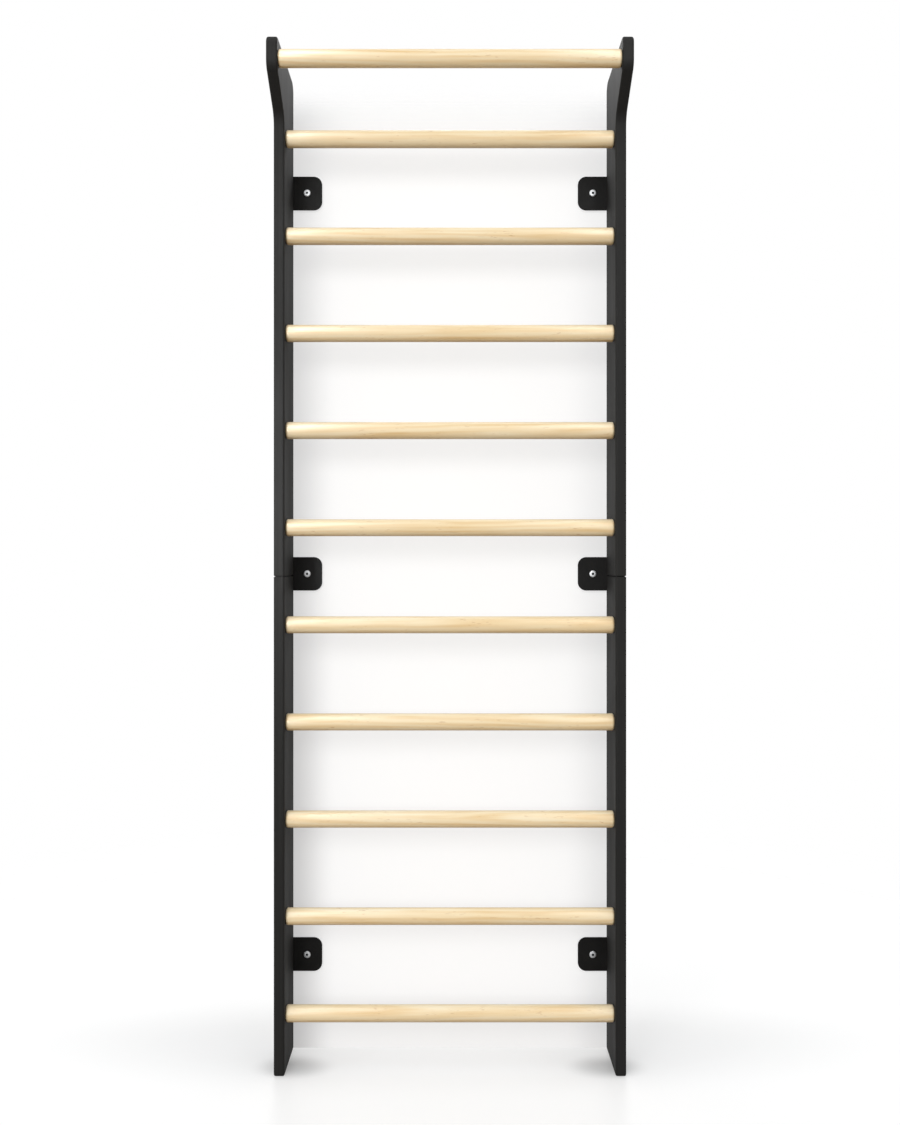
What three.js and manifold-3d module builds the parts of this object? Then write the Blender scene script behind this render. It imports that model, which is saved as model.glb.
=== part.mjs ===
// Swedish wall bars: two uprights made of an upper and a lower board, ten round rungs between
// them, a pull-up bar held forward by the heads, and flat plates that screw the frame to a wall.
// Millimetres. +X right, +Y towards the wall, +Z up. The floor is Z = 0, the wall is Y = WALL_Y.
import * as THREE from 'three';
import { mergeVertices, toCreasedNormals } from 'three/addons/utils/BufferGeometryUtils.js';
import Module from 'manifold-3d';

const wasm = await Module();
wasm.setup();

// Ladder
const CLEAR_WIDTH = 674; // between the inner faces of the uprights
const RUNG_DIAMETER = 35;
const RUNG_COUNT = 10;
const RUNG_PITCH = 200;
const LOWEST_RUNG_Z = 118;
const RUNG_SETBACK = 30; // rung axis behind the uprights' front edge
const TOP_BAR_REACH = 80; // pull-up bar axis in front of the uprights' front edge
const TOP_BAR_Z = 2037;

// Upright boards
const BOARD = 22; // thickness
const BOARD_DEPTH = 140; // front edge to wall
const HEIGHT = 2076;
const HEAD_REACH = 102; // head in front of the front edge
const FLARE_START_Z = 1952; // where the front edge turns forward
const FLARE_END_Z = 2015; // where it turns upright again
const FLARE_START_RADIUS = 34;
const FLARE_END_RADIUS = 26;
const HEAD_FRONT_RADIUS = 16;
const HEAD_BACK_RADIUS = 22;
const FOOT_RADIUS = 5;
const EDGE_RADIUS = 4; // rounded edges along both faces
const SEAM_EASE = 1.5; // chamfer where the two boards meet

// Rung joints: a shouldered tenon in a blind socket, drawn tight by a countersunk screw
const TENON_RADIUS = 11;
const TENON_LENGTH = 13;
const SOCKET_DEPTH = 14;
const SHOULDER_EASE = 4.5;
const FIT_GAP = 0.3;

// Loose tenon that lines up the two boards of an upright
const SPLINE_WIDTH = 60;
const SPLINE_THICKNESS = 8;
const SPLINE_LENGTH = 80;
const SPLINE_RADIUS = 3;
const SPLINE_EASE = 1.5;
const SPLINE_SETBACK = 60; // middle of the loose tenon behind the front edge

// Wall plates, let into the uprights' back edges
const PLATE_THICKNESS = 4;
const PLATE_HEIGHT = 72;
const PLATE_WING = 62; // reach beyond the upright's inner face
const PLATE_TAB = 20; // part behind the upright
const PLATE_WING_RADIUS = 18;
const PLATE_TAB_RADIUS = 3;
const PLATE_EASE = 0.6;
const PLATE_LIFT = 4; // middle plates above the seam
const PLATE_SPREAD = 818; // top and bottom plates above and below the middle ones
const WALL_HOLE_INSET = 30; // wall screw from the upright's inner face

// Fasteners
const RUNG_SCREW = { headRadius: 5.5, shankRadius: 3, length: 60, point: 7, socket: 4 };
const PLATE_SCREW = { headRadius: 4.8, shankRadius: 2.5, length: 40, point: 6, socket: 3 };
const PLATE_SCREW_SPREAD = 20; // screws above and below the centre of a middle plate
const SCREW_SINK = 0.3; // countersunk heads below the surface
const SOCKET_SHARE = 0.4; // key socket depth as a share of the head's radius
const WALL_SCREW = { shankRadius: 4, length: 50, point: 1.2, socket: 5 };
const WALL_SCREW_HEAD = [[7.5, 0], [7.5, 1.6], [6.9, 2.8], [5.4, 3.4]]; // radius and height up the dome

// Facets
const RUNG_SEGMENTS = 20;
const SOCKET_SEGMENTS = 16;
const SCREW_SEGMENTS = 10;
const WALL_SCREW_SEGMENTS = 14;
const ARC_STEPS = 2;

// Places worked out from the sizes above
const WALL_REACH = WALL_SCREW.length - PLATE_THICKNESS;
const WALL_Y = (HEAD_REACH + BOARD_DEPTH - WALL_REACH) / 2;
const FRONT_Y = WALL_Y - BOARD_DEPTH;
const INNER_X = CLEAR_WIDTH / 2;
const OUTER_X = INNER_X + BOARD;
const BOARD_X = INNER_X + BOARD / 2;
const SEAM_Z = LOWEST_RUNG_Z + (RUNG_COUNT / 2 - 0.5) * RUNG_PITCH;
const SPLINE_Y = FRONT_Y + SPLINE_SETBACK;
const MIDDLE_PLATE_Z = SEAM_Z + PLATE_LIFT;

const SIDES = [
  { side: 'left', sign: -1 },
  { side: 'right', sign: 1 },
];
const RUNGS = [
  ...Array.from({ length: RUNG_COUNT }, (_, i) => ({
    name: `rung_${String(i + 1).padStart(2, '0')}`,
    y: FRONT_Y + RUNG_SETBACK,
    z: LOWEST_RUNG_Z + i * RUNG_PITCH,
  })),
  { name: 'top_bar', y: FRONT_Y - TOP_BAR_REACH, z: TOP_BAR_Z },
];
const PLATES = [
  { level: 'bottom', z: MIDDLE_PLATE_Z - PLATE_SPREAD, screws: [{ label: 'bottom', offset: 0 }] },
  {
    level: 'middle',
    z: MIDDLE_PLATE_Z,
    screws: [
      { label: 'middle_lower', offset: -PLATE_SCREW_SPREAD },
      { label: 'middle_upper', offset: PLATE_SCREW_SPREAD },
    ],
  },
  { level: 'top', z: MIDDLE_PLATE_Z + PLATE_SPREAD, screws: [{ label: 'top', offset: 0 }] },
];

// Finishes
const FINISHES = {
  blackLacquer: { color: 0x2f3032, roughness: 0.45, metalness: 0 },
  paleWood: { color: 0xe3cba0, roughness: 0.5, metalness: 0 },
  hiddenWood: { color: 0xc9a877, roughness: 0.7, metalness: 0 },
  blackPlate: { color: 0x191a1b, roughness: 0.5, metalness: 0.3 },
  blackSteel: { color: 0x1c1c1e, roughness: 0.4, metalness: 0.8 },
  zincSteel: { color: 0xc4c6c8, roughness: 0.3, metalness: 1 },
};

// Axes that lay a flat outline out as a board standing on edge, (y, z), or as a plate on the wall, (x, z)
const X = new THREE.Vector3(1, 0, 0);
const Y = new THREE.Vector3(0, 1, 0);
const Z = new THREE.Vector3(0, 0, 1);
const BOARD_AXES = new THREE.Matrix4().makeBasis(Y, Z, X);
const PLATE_AXES = new THREE.Matrix4().makeBasis(X, Z, Y.clone().negate());

// Solid for joining and cutting, from a closed geometry
function solidOf(geometry) {
  const bare = geometry.clone();
  bare.deleteAttribute('normal');
  bare.deleteAttribute('uv');
  const merged = mergeVertices(bare);
  const triangles = [];
  for (let i = 0; i < merged.index.count; i += 3) {
    const [a, b, c] = merged.index.array.subarray(i, i + 3);
    if (a !== b && b !== c && c !== a) triangles.push(a, b, c);
  }
  const mesh = new wasm.Mesh({
    numProp: 3,
    vertProperties: merged.attributes.position.array,
    triVerts: new Uint32Array(triangles),
  });
  return new wasm.Manifold(mesh);
}

// Geometry of a finished solid
function geometryOf(solid) {
  const { vertProperties, triVerts } = solid.getMesh();
  const geometry = new THREE.BufferGeometry();
  geometry.setAttribute('position', new THREE.BufferAttribute(vertProperties, 3));
  geometry.setIndex(new THREE.BufferAttribute(triVerts, 1));
  return toCreasedNormals(geometry, Math.PI / 6);
}

// Solid with every cutter taken out of it
function cut(solid, cutters) {
  return cutters.reduce((left, cutter) => left.subtract(cutter), solid);
}

// Closed outline with an arc at each corner, given as [x, y, radius]
function roundedOutline(corners) {
  const shape = new THREE.Shape();
  const points = corners.map(([x, y]) => new THREE.Vector2(x, y));
  corners.forEach(([, , radius], i) => {
    const corner = points[i];
    const back = points.at(i - 1).clone().sub(corner).normalize();
    const ahead = points[(i + 1) % points.length].clone().sub(corner).normalize();
    const half = back.angleTo(ahead) / 2;
    const tangent = radius / Math.tan(half);
    const centre = back.clone().add(ahead).setLength(radius / Math.sin(half));
    const start = back.clone().multiplyScalar(tangent).sub(centre).angle();
    const end = ahead.clone().multiplyScalar(tangent).sub(centre).angle();
    centre.add(corner);
    shape.absarc(centre.x, centre.y, radius, start, end, back.cross(ahead) > 0);
  });
  return shape;
}

// Rectangle about the origin with small corner arcs
function roundedRectangle(width, height, radius) {
  const x = width / 2;
  const y = height / 2;
  return roundedOutline([
    [x, -y, radius],
    [x, y, radius],
    [-x, y, radius],
    [-x, -y, radius],
  ]);
}

// Slab of an outline, rounded over or chamfered inside its own size along both faces
function easedSlab(shape, thickness, ease, steps) {
  const geometry = new THREE.ExtrudeGeometry(shape, {
    depth: thickness - 2 * ease,
    bevelThickness: ease,
    bevelSize: ease,
    bevelOffset: -ease,
    bevelSegments: steps,
    curveSegments: ARC_STEPS,
  });
  return geometry.translate(0, 0, ease);
}

// Turned piece about the Y axis from its half profile, given from the lower end up
function turned(profile, segments) {
  return new THREE.LatheGeometry(profile.map(([r, y]) => new THREE.Vector2(r, y)), segments);
}

// Round cutter along Y, with its middle at the origin
function drill(radius, length, segments) {
  return new THREE.CylinderGeometry(radius, radius, length, segments);
}

// Side outline of the upper board, run past the seam so that the seam can be cut square
function upperOutline() {
  const headY = FRONT_Y - HEAD_REACH;
  return roundedOutline([
    [WALL_Y, SEAM_Z - BOARD, FOOT_RADIUS],
    [WALL_Y, HEIGHT, HEAD_BACK_RADIUS],
    [headY, HEIGHT, HEAD_FRONT_RADIUS],
    [headY, FLARE_END_Z, FLARE_END_RADIUS],
    [FRONT_Y, FLARE_START_Z, FLARE_START_RADIUS],
    [FRONT_Y, SEAM_Z - BOARD, FOOT_RADIUS],
  ]);
}

// Side outline of the lower board, from the floor to just past the seam
function lowerOutline() {
  return roundedOutline([
    [WALL_Y, 0, FOOT_RADIUS],
    [WALL_Y, SEAM_Z + BOARD, FOOT_RADIUS],
    [FRONT_Y, SEAM_Z + BOARD, FOOT_RADIUS],
    [FRONT_Y, 0, FOOT_RADIUS],
  ]);
}

// Cutter that trims a board at the seam and chamfers the new end
function seamCutter(sign, upper) {
  const end = roundedRectangle(BOARD, BOARD_DEPTH, 2 * SEAM_EASE);
  const length = 2 * BOARD;
  const keep = easedSlab(end, length, SEAM_EASE, 1);
  keep.translate(0, 0, upper ? 0 : -length);
  const trim = new THREE.BoxGeometry(length, 2 * BOARD_DEPTH, length + SEAM_EASE);
  trim.translate(0, 0, ((upper ? -1 : 1) * (length - SEAM_EASE)) / 2);
  const cutter = solidOf(trim).subtract(solidOf(keep));
  return cutter.translate([sign * BOARD_X, WALL_Y - BOARD_DEPTH / 2, SEAM_Z]);
}

// Blind socket for a rung's tenon, with the clearance hole and countersink of its screw
function rungJointCutters(rung, sign) {
  const socket = drill(TENON_RADIUS + FIT_GAP, 2 * SOCKET_DEPTH, SOCKET_SEGMENTS);
  socket.rotateZ(Math.PI / 2).translate(sign * INNER_X, rung.y, rung.z);
  const hole = countersink(RUNG_SCREW, 2 * BOARD);
  hole.rotateZ(-sign * (Math.PI / 2)).translate(sign * OUTER_X, rung.y, rung.z);
  return [solidOf(socket), solidOf(hole)];
}

// Countersunk hole down from the surface at Y = 0, open above it
function countersink(screw, depth) {
  const neck = screw.shankRadius + FIT_GAP;
  const mouth = screw.headRadius + FIT_GAP;
  return turned([
    [0, -depth],
    [neck, -depth],
    [neck, neck - mouth],
    [mouth, 0],
    [mouth, depth],
    [0, depth],
  ], SCREW_SEGMENTS);
}

// Rebate in the back edge for a wall plate, with the pilot holes of its screws
function plateSeatCutters(plate, sign) {
  const rebate = new THREE.BoxGeometry(2 * BOARD, 2 * PLATE_THICKNESS, PLATE_HEIGHT + 2 * FIT_GAP);
  rebate.translate(sign * BOARD_X, WALL_Y, plate.z);
  const pilots = plate.screws.map(({ offset }) => {
    const pilot = drill(PLATE_SCREW.shankRadius + FIT_GAP, 2 * PLATE_SCREW.length, SCREW_SEGMENTS);
    return pilot.translate(sign * BOARD_X, WALL_Y, plate.z + offset);
  });
  return [rebate, ...pilots].map(solidOf);
}

// Flat tenon with rounded edges, standing across the seam, or its mortise with a gap all round
function splineGeometry(gap) {
  const length = SPLINE_LENGTH + 2 * gap;
  const outline = roundedRectangle(SPLINE_THICKNESS + 2 * gap, SPLINE_WIDTH + 2 * gap, SPLINE_RADIUS);
  return easedSlab(outline, length, SPLINE_EASE, 1).translate(0, 0, -length / 2);
}

// One board of an upright with all its joints cut
function uprightGeometry(upper, sign) {
  const blank = easedSlab(upper ? upperOutline() : lowerOutline(), BOARD, EDGE_RADIUS, 2);
  blank.applyMatrix4(BOARD_AXES).translate(sign * BOARD_X - BOARD / 2, 0, 0);
  const mortise = splineGeometry(FIT_GAP).translate(sign * BOARD_X, SPLINE_Y, SEAM_Z);
  const onThisBoard = ({ z }) => z > SEAM_Z === upper;
  const acrossSeam = ({ z }) => Math.abs(z - SEAM_Z) < PLATE_HEIGHT / 2;
  const cutters = [
    seamCutter(sign, upper),
    solidOf(mortise),
    ...RUNGS.filter(onThisBoard).flatMap((rung) => rungJointCutters(rung, sign)),
    ...PLATES.filter((plate) => acrossSeam(plate) || onThisBoard(plate))
      .flatMap((plate) => plateSeatCutters(plate, sign)),
  ];
  return geometryOf(cut(solidOf(blank), cutters));
}

// Round bar along X with eased shoulders, a tenon at each end and pilot holes for the screws
function rungGeometry() {
  const radius = RUNG_DIAMETER / 2;
  const end = INNER_X + TENON_LENGTH;
  const half = [
    [0, end],
    [TENON_RADIUS, end],
    [TENON_RADIUS, INNER_X],
    [radius - SHOULDER_EASE, INNER_X],
    [radius, INNER_X - SHOULDER_EASE],
  ];
  const lower = half.map(([r, y]) => [r, -y]);
  const bar = solidOf(turned([...lower, ...half.toReversed()], RUNG_SEGMENTS));
  const tip = OUTER_X - RUNG_SCREW.length - FIT_GAP;
  const pilots = [-1, 1].map((sign) => {
    const pilot = drill(RUNG_SCREW.shankRadius + FIT_GAP, 2 * (end - tip), SCREW_SEGMENTS);
    return solidOf(pilot.translate(0, sign * end, 0));
  });
  return geometryOf(cut(bar, pilots)).rotateZ(-Math.PI / 2);
}

// Six-sided key socket sunk into a face at the given height
function keySocket(acrossFlats, depth, height) {
  const radius = acrossFlats / Math.sqrt(3);
  return solidOf(drill(radius, 2 * depth, 6).translate(0, height, 0));
}

// Countersunk screw along Y with its flat head at the origin
function countersunkScrewGeometry({ headRadius, shankRadius, length, point, socket }) {
  const body = turned([
    [0, -length],
    [shankRadius, point - length],
    [shankRadius, shankRadius - headRadius],
    [headRadius, 0],
    [0, 0],
  ], SCREW_SEGMENTS);
  const depth = SOCKET_SHARE * headRadius;
  return geometryOf(solidOf(body).subtract(keySocket(socket, depth, 0)));
}

// Low domed screw along Y with the seat under its head at the origin
function wallScrewGeometry() {
  const { shankRadius, length, point, socket } = WALL_SCREW;
  const [headRadius] = WALL_SCREW_HEAD[0];
  const [, headHeight] = WALL_SCREW_HEAD.at(-1);
  const body = turned([
    [0, -length],
    [shankRadius - point, -length],
    [shankRadius, point - length],
    [shankRadius, 0],
    ...WALL_SCREW_HEAD,
    [0, headHeight],
  ], WALL_SCREW_SEGMENTS);
  const depth = SOCKET_SHARE * headRadius;
  return geometryOf(solidOf(body).subtract(keySocket(socket, depth, headHeight)));
}

// Flat plate on the wall with round free corners and its screw holes
function plateGeometry(plate, sign) {
  const wingX = sign * (INNER_X - PLATE_WING);
  const tabX = sign * (INNER_X + PLATE_TAB);
  const low = plate.z - PLATE_HEIGHT / 2;
  const high = plate.z + PLATE_HEIGHT / 2;
  const outline = roundedOutline([
    [wingX, low, PLATE_WING_RADIUS],
    [tabX, low, PLATE_TAB_RADIUS],
    [tabX, high, PLATE_TAB_RADIUS],
    [wingX, high, PLATE_WING_RADIUS],
  ]);
  const slab = easedSlab(outline, PLATE_THICKNESS, PLATE_EASE, 1).applyMatrix4(PLATE_AXES);
  slab.translate(0, WALL_Y, 0);
  const wallHole = drill(WALL_SCREW.shankRadius + FIT_GAP, 4 * PLATE_THICKNESS, SOCKET_SEGMENTS);
  wallHole.translate(sign * (INNER_X - WALL_HOLE_INSET), WALL_Y, plate.z);
  const screwHoles = plate.screws.map(({ offset }) =>
    countersink(PLATE_SCREW, BOARD).translate(sign * BOARD_X, WALL_Y, plate.z + offset));
  return geometryOf(cut(solidOf(slab), [wallHole, ...screwHoles].map(solidOf)));
}

const wallBars = new THREE.Group();

// Named piece in its own finish, added to the assembly
function addPiece(name, geometry, finish) {
  const piece = new THREE.Mesh(geometry, new THREE.MeshStandardMaterial(FINISHES[finish]));
  piece.name = name;
  wallBars.add(piece);
  return piece;
}

for (const rung of RUNGS) {
  addPiece(rung.name, rungGeometry(), 'paleWood').position.set(0, rung.y, rung.z);
}

for (const { side, sign } of SIDES) {
  addPiece(`upright_upper_${side}`, uprightGeometry(true, sign), 'blackLacquer');
  addPiece(`upright_lower_${side}`, uprightGeometry(false, sign), 'blackLacquer');
  addPiece(`seam_tenon_${side}`, splineGeometry(0), 'hiddenWood')
    .position.set(sign * BOARD_X, SPLINE_Y, SEAM_Z);

  for (const rung of RUNGS) {
    const screw = addPiece(`${rung.name}_screw_${side}`, countersunkScrewGeometry(RUNG_SCREW), 'blackSteel');
    screw.rotation.z = -sign * (Math.PI / 2);
    screw.position.set(sign * (OUTER_X - SCREW_SINK), rung.y, rung.z);
  }

  for (const plate of PLATES) {
    addPiece(`wall_plate_${plate.level}_${side}`, plateGeometry(plate, sign), 'blackPlate');
    const wallScrew = addPiece(`wall_screw_${plate.level}_${side}`, wallScrewGeometry(), 'zincSteel');
    wallScrew.rotation.z = Math.PI;
    wallScrew.position.set(sign * (INNER_X - WALL_HOLE_INSET), WALL_Y - PLATE_THICKNESS, plate.z);
    for (const { label, offset } of plate.screws) {
      addPiece(`plate_screw_${label}_${side}`, countersunkScrewGeometry(PLATE_SCREW), 'zincSteel')
        .position.set(sign * BOARD_X, WALL_Y - SCREW_SINK, plate.z + offset);
    }
  }
}

export default wallBars;
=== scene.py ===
"""Looks of the swedish wall bars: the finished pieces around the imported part, their finishes, the
studio and the camera. Metres, +X right, +Y towards the wall, +Z up."""

import logging
import math
import random
from collections.abc import Iterable, Mapping, Sequence
from dataclasses import dataclass
from enum import Enum

import bmesh
import bpy
from mathutils import Matrix, Vector


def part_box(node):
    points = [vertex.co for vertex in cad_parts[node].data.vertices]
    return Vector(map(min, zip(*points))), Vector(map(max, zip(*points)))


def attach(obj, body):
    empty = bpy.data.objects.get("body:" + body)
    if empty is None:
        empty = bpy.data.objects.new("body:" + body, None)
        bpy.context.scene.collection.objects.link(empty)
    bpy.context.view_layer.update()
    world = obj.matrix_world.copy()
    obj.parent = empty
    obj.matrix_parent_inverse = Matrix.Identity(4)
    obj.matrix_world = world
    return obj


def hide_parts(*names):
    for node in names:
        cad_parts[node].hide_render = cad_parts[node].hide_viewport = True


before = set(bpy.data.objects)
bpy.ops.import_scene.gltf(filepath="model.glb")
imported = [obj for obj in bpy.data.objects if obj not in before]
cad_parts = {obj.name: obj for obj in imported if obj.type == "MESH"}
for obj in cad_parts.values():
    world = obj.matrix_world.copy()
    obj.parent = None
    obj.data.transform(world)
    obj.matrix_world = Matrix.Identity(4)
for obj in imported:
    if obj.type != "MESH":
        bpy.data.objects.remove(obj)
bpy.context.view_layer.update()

LOG = logging.getLogger("wall_bars")
MM = 0.001
BODY = "root"
GRAIN = "grain"
FACING = "facing"
CREASE = math.radians(32)
RUNG_NAMES = tuple(f"rung_{number:02d}" for number in range(1, 11))
BAR_NAMES = (*RUNG_NAMES, "top_bar")

Colour = tuple[float, float, float, float]
Triple = tuple[float, float, float]
Pair = tuple[float, float]
Socket = bpy.types.NodeSocket
Inputs = Mapping[str | int, object]


class Side(Enum):
    """Which upright, seen from the front. The value is the sign of X."""

    LEFT = -1
    RIGHT = 1

    @property
    def label(self) -> str:
        """The side's word in node names."""
        return self.name.lower()


class Half(Enum):
    """Which board of an upright."""

    LOWER = "lower"
    UPPER = "upper"


class Level(Enum):
    """Which row of wall plates, with the labels of the screws that hold each plate."""

    BOTTOM = ("bottom",)
    MIDDLE = ("middle_lower", "middle_upper")
    TOP = ("top",)

    @property
    def label(self) -> str:
        """The level's word in node names."""
        return self.name.lower()


def paint(red: int, green: int, blue: int) -> Colour:
    """Turn screen values into the colour that a shader takes.

    Args:
        red: red from 0 to 255.
        green: green from 0 to 255.
        blue: blue from 0 to 255.

    Returns:
        The linear colour, opaque.
    """
    def linear(value: int) -> float:
        """One channel on the linear scale."""
        share = value / 255
        return share / 12.92 if share <= 0.04045 else ((share + 0.055) / 1.055) ** 2.4

    return (linear(red), linear(green), linear(blue), 1.0)


class Wiring:
    """Adds nodes to a tree and joins them up."""

    def __init__(self, tree: bpy.types.NodeTree) -> None:
        """Start on an empty tree."""
        self.tree = tree
        tree.nodes.clear()

    def node(self, kind: str, inputs: Inputs | None = None, **settings: object) -> bpy.types.Node:
        """Add one node.

        Args:
            kind: Blender's name of the node type.
            inputs: a value or a socket for each input, by its name or number.
            settings: the node's own options.

        Returns:
            The new node.
        """
        node = self.tree.nodes.new(kind)
        for name, value in settings.items():
            setattr(node, name, value)
        for key, value in (inputs or {}).items():
            if isinstance(value, Socket):
                self.tree.links.new(value, node.inputs[key])
            else:
                node.inputs[key].default_value = value
        return node

    def out(self, kind: str, inputs: Inputs | None = None, **settings: object) -> Socket:
        """Add one node as node does, and give its first output."""
        return self.node(kind, inputs, **settings).outputs[0]

    def math(self, operation: str, *values: object) -> Socket:
        """Give the result of a Math node."""
        return self.out("ShaderNodeMath", dict(enumerate(values)), operation=operation)

    def vector(self, operation: str, *values: object) -> Socket:
        """Give the result of a Vector Math node."""
        return self.out("ShaderNodeVectorMath", dict(enumerate(values)), operation=operation)

    def length(self, value: Socket) -> Socket:
        """Give the length of a vector."""
        return self.node("ShaderNodeVectorMath", {0: value}, operation="LENGTH").outputs["Value"]

    def axes(self, value: Socket) -> bpy.types.NodeOutputs:
        """Give the three coordinates of a vector."""
        return self.node("ShaderNodeSeparateXYZ", {0: value}).outputs

    def place(self) -> Socket:
        """Give the place on a piece, in metres."""
        return self.node("ShaderNodeTexCoord").outputs["Object"]

    def total(self, parts: Iterable[tuple[Socket, float]]) -> Socket:
        """Add up values by their weights, and pass over those of no weight.

        Args:
            parts: values and their weights.

        Returns:
            The sum.
        """
        first, *others = [self.math("MULTIPLY", value, weight) for value, weight in parts if weight]
        for other in others:
            first = self.math("ADD", first, other)
        return first

    def spread(self, value: Socket, low: float, high: float, to_low: float, to_high: float,
               easing: str = "LINEAR") -> Socket:
        """Map a range of values to another one, and clamp it there."""
        inputs = dict(enumerate((value, low, high, to_low, to_high)))
        return self.out("ShaderNodeMapRange", inputs, interpolation_type=easing)

    def ease(self, value: Socket, *ends: float) -> Socket:
        """Map a range of values to another one like spread does, with a soft start and end."""
        return self.spread(value, *ends, easing="SMOOTHSTEP")

    def ramp(self, value: Socket, stops: Sequence[tuple[float, Colour]]) -> Socket:
        """Give the colour of a value along a ramp.

        Args:
            value: from 0 to 1.
            stops: places and colours along the ramp.

        Returns:
            The colour.
        """
        node = self.node("ShaderNodeValToRGB", {"Fac": value})
        elements = node.color_ramp.elements
        while len(elements) < len(stops):
            elements.new(0.5)
        for element, (place, colour) in zip(elements, stops):
            element.position = place
            element.color = colour
        return node.outputs["Color"]

    def blend(self, share: object, first: object, second: object) -> Socket:
        """Give a colour between two others."""
        inputs = {0: share, 6: first, 7: second}
        return self.node("ShaderNodeMix", inputs, data_type="RGBA").outputs[2]

    def bump(self, height: Socket, strength: float, distance: float) -> Socket:
        """Give the normal of a surface with fine relief."""
        return self.out("ShaderNodeBump", {"Height": height, "Strength": strength, "Distance": distance})

    def seen(self) -> Socket:
        """Tell whether the eye looks here, straight or by way of gloss or glass."""
        path = self.node("ShaderNodeLightPath").outputs
        mirrored = self.math("MAXIMUM", path["Is Glossy Ray"], path["Is Transmission Ray"])
        return self.math("MAXIMUM", path["Is Camera Ray"], mirrored)

    def surface(self, inputs: Inputs) -> None:
        """End a material in a Principled shader."""
        shader = self.out("ShaderNodeBsdfPrincipled", inputs)
        self.node("ShaderNodeOutputMaterial", {"Surface": shader})

    def fading(self, share: Socket, shader: Socket) -> None:
        """End a material in a shader that is there by a share, and else is clear."""
        clear = self.out("ShaderNodeBsdfTransparent")
        mixed = self.out("ShaderNodeMixShader", {0: share, 1: clear, 2: shader})
        self.node("ShaderNodeOutputMaterial", {"Surface": mixed})


def new_material(name: str) -> tuple[bpy.types.Material, Wiring]:
    """Make an empty node material.

    Args:
        name: the finish's name.

    Returns:
        The material and the wiring of its tree.
    """
    material = bpy.data.materials.new(name)
    material.use_nodes = True
    return material, Wiring(material.node_tree)


@dataclass(frozen=True)
class Speckle:
    """Layer of noise in a finish: its waves in a metre along each axis, and its shares of the look."""

    waves: Triple
    detail: float = 2.0
    rough: float = 0.5
    tone: float = 0.0
    dullness: float = 0.0
    relief: float = 0.0

    def on(self, wire: Wiring, place: Socket) -> Socket:
        """Give the layer's value, around 0.5, at a place on the piece.

        Args:
            wire: the finish's wiring.
            place: the place in metres.

        Returns:
            The value.
        """
        scaled = wire.vector("MULTIPLY", place, self.waves)
        inputs = {"Vector": scaled, "Scale": 1.0, "Detail": self.detail, "Roughness": self.rough}
        return wire.out("ShaderNodeTexNoise", inputs)


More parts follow.
